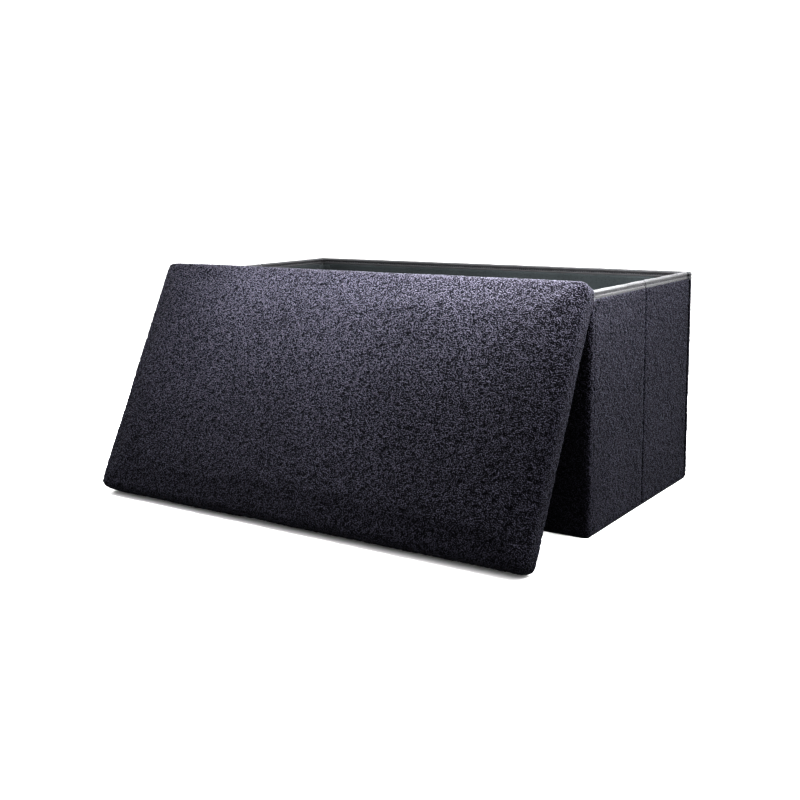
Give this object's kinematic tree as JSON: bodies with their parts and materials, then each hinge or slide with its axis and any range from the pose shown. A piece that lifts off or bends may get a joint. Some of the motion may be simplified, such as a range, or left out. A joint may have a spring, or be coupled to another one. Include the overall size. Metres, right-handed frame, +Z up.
{
  "type": "storage ottoman",
  "caption": "Long fold-flat storage ottoman in dark curled fabric: open padded box with bound rim, folding ends, and a loose cushioned lid leaning on its front.",
  "frame": {"origin": "centre of the box's underside, on the ground", "axes": "+X along the length, front faces -Y where the lid leans, +Z up"},
  "size_m": [0.768, 0.5797, 0.3597],
  "materials": {
    "boucle": "dark charcoal curled pile fabric",
    "binding": "smooth charcoal binding tape, topstitched",
    "lining": "grey non-woven lining cloth",
    "underlining": "black non-woven underlining",
    "board": "raw fibreboard",
    "cord": "soft twisted filler cord",
    "foam": "open-cell upholstery foam",
    "steel": "galvanised wire staples"
  },
  "bodies": {
    "back_wall": {"back_board": "board", "back_cover": "boucle", "back_lining": "lining", "back_binding": "binding", "back_rim_cord": "cord", "floor_sheet": "lining"},
    "right_rear_leaf": {"right_rear_board": "board", "right_rear_cover": "boucle", "right_rear_lining": "lining", "right_rear_binding": "binding", "right_rear_rim_cord": "cord"},
    "right_front_leaf": {"right_front_board": "board", "right_front_cover": "boucle", "right_front_lining": "lining", "right_front_binding": "binding", "right_front_rim_cord": "cord"},
    "left_rear_leaf": {"left_rear_board": "board", "left_rear_cover": "boucle", "left_rear_lining": "lining", "left_rear_binding": "binding", "left_rear_rim_cord": "cord"},
    "left_front_leaf": {"left_front_board": "board", "left_front_cover": "boucle", "left_front_lining": "lining", "left_front_binding": "binding", "left_front_rim_cord": "cord"},
    "front_wall": {"front_board": "board", "front_cover": "boucle", "front_lining": "lining", "front_binding": "binding"},
    "front_roll": {"front_rim_cord": "cord"},
    "lid": {"lid_board": "board", "lid_foam": "foam", "lid_cover": "boucle", "lid_underlining": "underlining", "lid_staples": "steel"}
  },
  "joints": [
    {"name": "fold", "type": "hinge", "parent": "back_wall", "child": "right_rear_leaf", "pos_m": [0.3685, 0.1777, 0], "axis": [0, 0, -1], "range_deg": [0, 90], "deforming": ["floor_sheet"]},
    {"name": "right_mid_fold", "type": "hinge", "parent": "right_rear_leaf", "child": "right_front_leaf", "pos_m": [0.3815, 0, 0], "axis": [0, 0, 1], "range_deg": [0, 180]},
    {"name": "front_fold", "type": "hinge", "parent": "right_front_leaf", "child": "front_wall", "pos_m": [0.3685, -0.1777, 0], "axis": [0, 0, -1], "range_deg": [0, 90]},
    {"name": "left_rear_fold", "type": "hinge", "parent": "back_wall", "child": "left_rear_leaf", "pos_m": [-0.3685, 0.1777, 0], "axis": [0, 0, 1], "range_deg": [0, 90]},
    {"name": "left_mid_fold", "type": "hinge", "parent": "left_rear_leaf", "child": "left_front_leaf", "pos_m": [-0.3815, 0, 0], "axis": [0, 0, -1], "range_deg": [0, 180]},
    {"name": "lid_tilt", "type": "hinge", "parent": "front_wall", "child": "front_roll", "pos_m": [0, -0.1835, 0.337], "axis": [1, 0, 0], "range_deg": [-63.5, 0]},
    {"name": "lid_slide", "type": "slide", "parent": "front_roll", "child": "lid", "axis": [0, -0.4462, -0.8949], "range_m": [-0.37071, 0]}
  ],
  "couplings": [
    {"joint": "right_mid_fold", "follows": "fold", "ratio": 2},
    {"joint": "front_fold", "follows": "fold", "ratio": 1},
    {"joint": "left_rear_fold", "follows": "fold", "ratio": 1},
    {"joint": "left_mid_fold", "follows": "fold", "ratio": 2}
  ]
}
